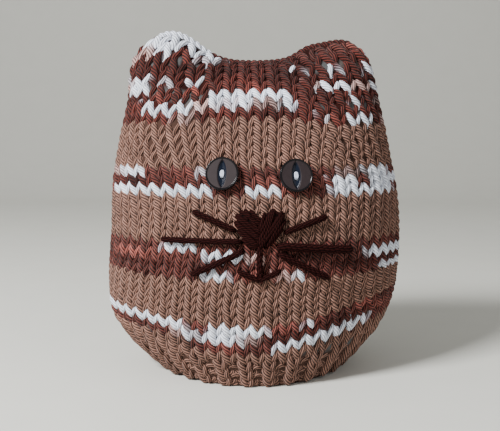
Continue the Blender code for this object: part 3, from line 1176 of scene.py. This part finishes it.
class COSY_OT_ground(bpy.types.Operator):
    """Lay the ground of the cloth between the yarns of each panel, darkened as painted shade"""

    bl_idname = "cosy.ground"
    bl_label = "Cloth ground"

    def execute(self, context):
        settings = context.scene.cosy_knitting
        finish = painted_shade_ground_finish()
        columns, bands = np.linspace(0, WALES, GROUND_COLUMNS), np.linspace(0, ROWS, GROUND_BANDS)
        wale, row = np.meshgrid(columns, bands)
        for side, title, panel, pieces in (
            (-1, "front_ground_painted_shade", "front_panel", FRONT_PIECES),
            (1, "back_ground_painted_shade", "back_panel", BACK_PIECES),
        ):
            skins = [on_cloth(side, wale, row, out)[0] for out in (GROUND_HALF, -GROUND_HALF)]
            points = np.concatenate([skin.reshape(-1, 3) for skin in skins])
            quads = grid_faces(GROUND_COLUMNS, GROUND_BANDS)
            inner = quads[:, ::-1] + wale.size
            number = np.arange(wale.size).reshape(wale.shape)
            rim = np.concatenate([number[0], number[1:, -1], number[-1, -2::-1], number[-2:0:-1, 0]])
            after = np.roll(rim, -1)
            edge = np.stack([rim, rim + wale.size, after + wale.size, after], axis=1)
            faces = np.concatenate([quads, inner, edge])
            if side > 0:
                faces = faces[:, ::-1]
            flat = np.stack([wale.ravel() / WALES, row.ravel() / ROWS], axis=1)
            corners = np.concatenate([flat * GROUND_MAP_SIZE + place for place in GROUND_MAP_PLACES])
            rows = yarn_shades(side, settings)
            place = knitted_at(row.ravel())
            sample = (wale.ravel() * SHADE_SAMPLES).astype(int)
            # Painted shade: each row's yarn colour, darkened and capped, shows in the gaps between
            # the yarns.
            shades = np.tile(np.minimum(rows[place, sample] * GROUND_PAINTED_SHADE, GROUND_PAINTED_SHADE_MOST), (2, 1))
            maps = {"OFBake": corners[faces.ravel()]}
            piece = add_mesh(title, lie_on_floor(points), [faces], maps, shades)
            dress(piece, finish, "knitted_cloth", panel)
        return {"FINISHED"}


EDGE_STEPS = 10
EDGE_RADIUS = 0.00150
EDGE_WAVE = 0.10
EDGE_SWELL = 0.0006
EDGE_UNEVEN = 0.1
EDGE_ENDS = (0.4, 0.3)
EDGE_SIDES = 7
EDGE_STRIPS = 4
CAST_OFF_STEPS = 12
CAST_OFF_SIDES = 9
CAST_OFF_END = 0.3
CAST_OFF_LINKS = 18
CAST_OFF_HALF = 0.0015
CAST_OFF_RADIUS = 0.00165
CAST_OFF_LIFT = -0.0014


class COSY_OT_seams(bpy.types.Operator):
    """Make the chain edges at the sides and the cast-off edge along the top seam"""

    bl_idname = "cosy.seams"
    bl_label = "Seams and edges"

    def execute(self, context):
        settings = context.scene.cosy_knitting
        row = np.linspace(EDGE_ENDS[0], ROWS - EDGE_ENDS[1], ROWS * EDGE_STEPS + 1)
        for side, title in ((-1, "front_edges"), (1, "back_edges")):
            lines = []
            for end in (0, 1):
                inwards = EDGE_WAVE * (1 + np.sin(2 * math.pi * row))
                wale = WALES - inwards if end else inwards
                lines.append(on_cloth(side, wale, row, EDGE_SWELL * np.cos(2 * math.pi * row)))
            paths = np.array([points for points, _ in lines])
            upward = np.array([facing for _, facing in lines])
            rows = yarn_shades(side, settings)
            place = knitted_at(row)
            shades = np.array([rows[place, 0], rows[place, -1]])
            radii = EDGE_RADIUS * (1 + EDGE_UNEVEN * np.cos(2 * math.pi * row))
            made = tube(paths, upward, radii, EDGE_SIDES, TWIST, shades, EDGE_STRIPS)
            add_yarn(title, [made], wool("knitting_wool"), "knitted_cloth")

        wale = np.linspace(CAST_OFF_END, WALES - CAST_OFF_END, WALES * CAST_OFF_STEPS + 1)
        middle, _ = on_cloth(-1, wale, ROWS, 0)
        middle[:, 1] = SEAM_Y
        phase = 2 * math.pi * wale * CAST_OFF_LINKS / WALES + np.array([[0.0], [math.pi]])
        paths = np.tile(middle, (2, 1, 1))
        paths[..., 1] += CAST_OFF_HALF * np.cos(phase)
        paths[..., 2] += CAST_OFF_LIFT + CAST_OFF_HALF * np.sin(phase)
        upward = np.zeros_like(paths)
        upward[..., 1] = np.cos(phase)
        upward[..., 2] = np.sin(phase)
        white = (wale >= CAST_OFF_WHITE[0]) & (wale < CAST_OFF_WHITE[1])
        shades = np.where(white[:, None], linear(SHADES["white"]), linear(SHADES["brown"]))
        made = tube(paths, upward, CAST_OFF_RADIUS, CAST_OFF_SIDES, TWIST, shades, EDGE_STRIPS)
        add_yarn("cast_off_edge", [made], wool("knitting_wool"), "knitted_cloth")
        return {"FINISHED"}


def face_frame(wale, row, off):
    """A point off the front panel, with the ways right, up and out of the cloth there.

    Up is the world's up made square to the way out, so that the eyes' hollows stand upright.
    """
    here, facing = on_face(wale, row, off)
    upwards = np.array([0.0, 0.0, 1.0]) - facing[2] * facing
    upwards /= np.linalg.norm(upwards)
    return here, np.cross(upwards, facing), upwards, facing


def placed(flat, place):
    """Points given as right, up and out of the cloth, put at their place on the front panel."""
    here, right, upwards, facing = place
    return here + flat[..., :1] * right + flat[..., 1:2] * upwards + flat[..., 2:] * facing


class COSY_OT_buttons(bpy.types.Operator):
    """Turn the two button eyes, with their lens-shaped hollows, and sew them on"""

    bl_idname = "cosy.buttons"
    bl_label = "Button eyes"

    def execute(self, context):
        face = context.scene.cosy_face
        finish = button_finish()
        thread = wool("button_thread")
        high, radius = EYE_HEIGHT, EYE_RADIUS
        knots = running(np.hypot(np.diff(RIM[:, 0]), np.diff(RIM[:, 1]) * high / radius))
        curved = smooth(knots / knots[-1], RIM, np.linspace(0, 1, RIM_RINGS))
        level = np.full(EYE_RINGS, FACE_LEVEL)
        inner = np.stack([np.linspace(*FACE_REACH, EYE_RINGS), level], axis=1)
        under = np.array([(reach, 0.0) for reach in UNDER_REACH])
        profile = np.concatenate([inner, curved, under])
        angle = np.linspace(0, 2 * math.pi, EYE_SPOKES, endpoint=False)
        flat = np.zeros((len(profile), EYE_SPOKES, 3))
        flat[..., 0] = profile[:, :1] * radius * np.cos(angle)
        flat[..., 1] = profile[:, :1] * radius * np.sin(angle)
        flat[..., 2] = profile[:, 1:] * high
        half_width, half_height, deep = EYE_PUPIL
        limit = half_width * np.maximum(1 - (flat[..., 1] / half_height) ** 2, 0) ** LENS_POWER
        edge = np.clip((limit - np.abs(flat[..., 0])) / LENS_EDGE, 0, 1)
        lens = edge * edge * (3 - 2 * edge)
        hole, reach = EYE_HOLES
        away = np.hypot(flat[..., 0], np.abs(flat[..., 1]) - reach)
        well = np.clip((hole - away) / HOLE_EDGE, 0, 1)
        top = (np.arange(len(profile)) < EYE_RINGS)[:, None]
        crease = np.clip(1 - np.abs(flat[..., 0]) / np.maximum(limit, 1e-6), 0, 1)
        bowl = deep * (LENS_BOWL * lens + LENS_CREASE * crease)
        flat[..., 2] -= np.where(top, bowl + (high * HOLE_LEVEL - deep) * well * lens, 0)
        shade = np.zeros((len(profile), EYE_SPOKES, 4))
        shade[..., :3] = linear(face.button_shade)
        shade[..., 3] = FACE_ROUGHNESS
        shade[(profile[:, 0] > GLOSSY_FROM) | (np.arange(len(profile)) > EYE_RINGS)] = RIM_LOOK
        dark = shade * (1 - lens[..., None]) + np.array(LENS_LOOK) * lens[..., None]
        shade = np.where(top[..., None], dark, shade)
        faces, corners = turned_faces(EYE_SPOKES, len(profile))
        centres = np.array([[0, 0, flat[0, :, 2].mean()], [0, 0, 0.0]])
        solid = np.concatenate([flat.reshape(-1, 3), centres])
        shades = np.concatenate([shade.reshape(-1, 4), [shade[0, 0], shade[-1, 0]]])
        step = np.arange(len(profile)).repeat(EYE_SPOKES) / len(profile)
        round_about = np.tile(angle, len(profile))
        spread = np.stack([np.cos(round_about), np.sin(round_about)], axis=1)
        disc = np.concatenate([0.5 + 0.49 * spread * step[:, None], [[0.5, 0.5], [0.5, 0.5]]])
        for name, wale, row in EYES:
            place = face_frame(wale, row, SEWN_GAP)
            points, maps = placed(solid, place), {"OFBake": disc[corners]}
            dress(add_mesh(name + "_turned", points, faces, maps, shades), finish, "button", name)
            along = np.linspace(-1, 1, THREAD_POINTS)
            number = np.arange(THREAD_STRANDS)[:, None]
            paths = np.zeros((THREAD_STRANDS, THREAD_POINTS, 3))
            beside = (number - (THREAD_STRANDS - 1) / 2) * THREAD_APART
            paths[..., 0] = beside * np.cos(along * math.pi / 2) ** 0.5
            paths[..., 1] = along * (reach + THREAD_PAST)
            paths[..., 2] = high * THREAD_LEVEL - deep + THREAD_RISE - THREAD_DIP * np.abs(along) ** 6
            paths = placed(paths, place)
            shade_of_thread = linear(face.thread_shade)
            made = tube(paths, place[3], THREAD_RADIUS, THREAD_SIDES, THREAD_TWIST, shade_of_thread)
            add_yarn(name + "_thread", [made], thread, "face_yarn")
        return {"FINISHED"}


def heart(turns):
    """A broad heart's outline: a power of the sine across, and a sum of four cosines up.

    The power falls from the notch to the tip, which makes the lower half broad.
    """
    upwards = 13 * np.cos(turns) - 5 * np.cos(2 * turns) - 2 * np.cos(3 * turns) - np.cos(4 * turns)
    across = np.sign(np.sin(turns)) * np.abs(np.sin(turns)) ** (1.75 + 0.85 * np.cos(turns))
    return across, (upwards + 2.5) / 14.5


def heart_share(across, up):
    """How far out a place lies from the heart's middle to its outline, which is 1."""
    edge_across, edge_up = heart(np.linspace(0, 2 * math.pi, 721))
    bearing = np.arctan2(edge_across, edge_up)
    order = np.argsort(bearing)
    reach = np.hypot(edge_across, edge_up)[order]
    outline = np.interp(np.arctan2(across, up), bearing[order], reach, period=2 * math.pi)
    return np.hypot(across, up) / outline


class COSY_OT_nose(bpy.types.Operator):
    """Pad the nose and cover each of its lobes with satin stitches"""

    bl_idname = "cosy.nose"
    bl_label = "Nose"

    def execute(self, context):
        colour = linear(context.scene.cosy_face.face_shade)
        turns = np.linspace(0, 2 * math.pi, NOSE_TURNS, endpoint=False)
        across, up = heart(turns)
        wale = NOSE_AT[0] + NOSE_RINGS[:, :1] * across * NOSE_REACH[0]
        row = NOSE_AT[1] + NOSE_RINGS[:, :1] * up * NOSE_REACH[1]
        points, _ = on_face(wale, row, SEWN_GAP + NOSE_RINGS[:, 1:] * NOSE_HEIGHT)
        closing, _ = on_face(*NOSE_AT, SEWN_GAP + NOSE_RINGS[[0, -1], 1] * NOSE_HEIGHT)
        solid = np.concatenate([points.reshape(-1, 3), closing])
        faces, corners = turned_faces(len(turns), len(NOSE_RINGS))
        number = np.arange(len(solid))
        ring = np.minimum(number // len(turns), len(NOSE_RINGS) - 1) / (len(NOSE_RINGS) - 1)
        flat = np.stack([number % len(turns) / len(turns), ring], axis=1)
        maps = {"OFBake": flat[corners], "yarn": flat[corners] * (0.04, 1.0)}
        # Painted shade: the padding is darker than the strands, for the shade between them.
        shades = np.tile(colour * PADDING_PAINTED_SHADE, (len(solid), 1))
        piece = add_mesh("nose_padding", solid, faces, maps, shades)
        dress(piece, wool("face_wool"), "face_yarn", "nose")

        paths = []
        rng = np.random.default_rng(NOSE_SEED)
        for end, slope, fan, strands, spread in NOSE_LOBES:
            for strand in np.linspace(-1, 1, strands):
                angle = end * math.radians(slope + fan * strand) + rng.normal(0, NOSE_UNEVEN)
                way = np.array([math.cos(angle), math.sin(angle)])
                normal = np.array([-way[1], way[0]])
                middle = np.array([NOSE_MIDDLE[0] * end, NOSE_MIDDLE[1]]) + normal * strand * spread
                reach = np.linspace(-STRAND_SEARCH, STRAND_SEARCH, STRAND_SAMPLES)
                spots = middle + reach[:, None] * way
                inside = (heart_share(spots[:, 0], spots[:, 1]) < 1.0) & (spots[:, 0] * end > -0.02)
                within = reach[inside]
                if len(within) < STRAND_LEAST:
                    continue
                ends = within.min() - STRAND_PAST, within.max() + STRAND_PAST
                paths.append(middle + np.linspace(*ends, STRAND_POINTS)[:, None] * way)
        paths = np.array(paths)
        share = np.clip(heart_share(paths[..., 0], paths[..., 1]), 0, 1)
        along = np.linspace(-1, 1, paths.shape[1])
        high = NOSE_HEIGHT * (SATIN_FOOT + SATIN_RISE * np.sqrt(np.clip(1 - share**3, 0, 1)))
        high = high - SATIN_DIP * np.abs(along) ** 10
        wale = NOSE_AT[0] + paths[..., 0] * NOSE_REACH[0]
        row = NOSE_AT[1] + paths[..., 1] * NOSE_REACH[1]
        points, facing = on_face(wale, row, SEWN_GAP + high)
        made = tube(points, facing, NOSE_STRAND, STRAND_SIDES, FACE_TWIST, colour)
        add_yarn("nose_satin", [made], wool("face_wool"), "face_yarn", "nose")
        return {"FINISHED"}


class COSY_OT_stitches(bpy.types.Operator):
    """Sew the mouth and the whiskers, each one long stitch of twisted yarn"""

    bl_idname = "cosy.stitches"
    bl_label = "Mouth and whiskers"

    def execute(self, context):
        face = context.scene.cosy_face
        colour = linear(face.face_shade)
        for name, from_wale, from_row, to_wale, to_row, radius in STITCHES:
            span = math.hypot((to_wale - from_wale) * WALE_SIZE, (to_row - from_row) * ROW_SIZE)
            past = END_OVERLAP / span
            along = np.linspace(-past, 1 + past, STITCH_POINTS)
            wale = from_wale + (to_wale - from_wale) * along
            row = from_row + (to_row - from_row) * along
            rise = np.minimum((np.minimum(along, 1 - along) + past) * span / END_DIP, 1)
            off = SEWN_GAP + radius * STITCH_LIFT - STITCH_DIP * (1 - rise) ** 2
            centre, facing = on_face(wale, row, off)
            length = running(np.linalg.norm(np.diff(centre, axis=0), axis=1))
            up, across = ways_round(centre, facing)
            phase = 2 * math.pi * length / face.ply_twist
            phase = phase + np.arange(STITCH_PLIES)[:, None] * 2 * math.pi / STITCH_PLIES
            girth = radius * (1 - STITCH_TAPER + STITCH_TAPER * rise)
            offset = up * np.cos(phase)[..., None] + across * np.sin(phase)[..., None]
            paths = centre + offset * (girth * PLY_PLACE)[:, None]
            made = tube(paths, up, girth * PLY_RADIUS, STITCH_SIDES, FACE_TWIST, colour)
            add_yarn(name + "_yarn", [made], wool("face_wool"), "face_yarn", name)
        return {"FINISHED"}


class COSY_PT_panel(bpy.types.Panel):
    """The tea cosy's settings and pieces"""

    bl_label = "Tea cosy"
    bl_idname = "COSY_PT_panel"
    bl_space_type = "VIEW_3D"
    bl_region_type = "UI"
    bl_category = "Tea cosy"

    def draw(self, context):
        for title, _ in GROUPS:
            group = getattr(context.scene, title)
            box = self.layout.box()
            for name in group.__annotations__:
                box.prop(group, name)
        for operator in OPERATORS:
            self.layout.operator(operator.bl_idname)


OPERATORS = (
    COSY_OT_stage,
    COSY_OT_front_yarn,
    COSY_OT_back_yarn,
    COSY_OT_ground,
    COSY_OT_seams,
    COSY_OT_buttons,
    COSY_OT_nose,
    COSY_OT_stitches,
)
GROUPS = (
    ("cosy_knitting", CosyKnitting),
    ("cosy_face", CosyFace),
    ("cosy_stage", CosyStage),
)


def register():
    """Adds the settings, the operators and the panel."""
    for title, group in GROUPS:
        bpy.utils.register_class(group)
        setattr(bpy.types.Scene, title, PointerProperty(type=group))
    for operator in OPERATORS:
        bpy.utils.register_class(operator)
    bpy.utils.register_class(COSY_PT_panel)


def unregister():
    """Takes the panel, the operators and the settings away."""
    bpy.utils.unregister_class(COSY_PT_panel)
    for operator in reversed(OPERATORS):
        bpy.utils.unregister_class(operator)
    for title, group in reversed(GROUPS):
        delattr(bpy.types.Scene, title)
        bpy.utils.unregister_class(group)


def main():
    """Makes every piece in order."""
    register()
    for operator in OPERATORS:
        group, name = operator.bl_idname.split(".")
        result = getattr(getattr(bpy.ops, group), name)()
        if result != {"FINISHED"}:
            raise RuntimeError(f"{operator.bl_label} did not finish")


if __name__ == "__main__":
    main()
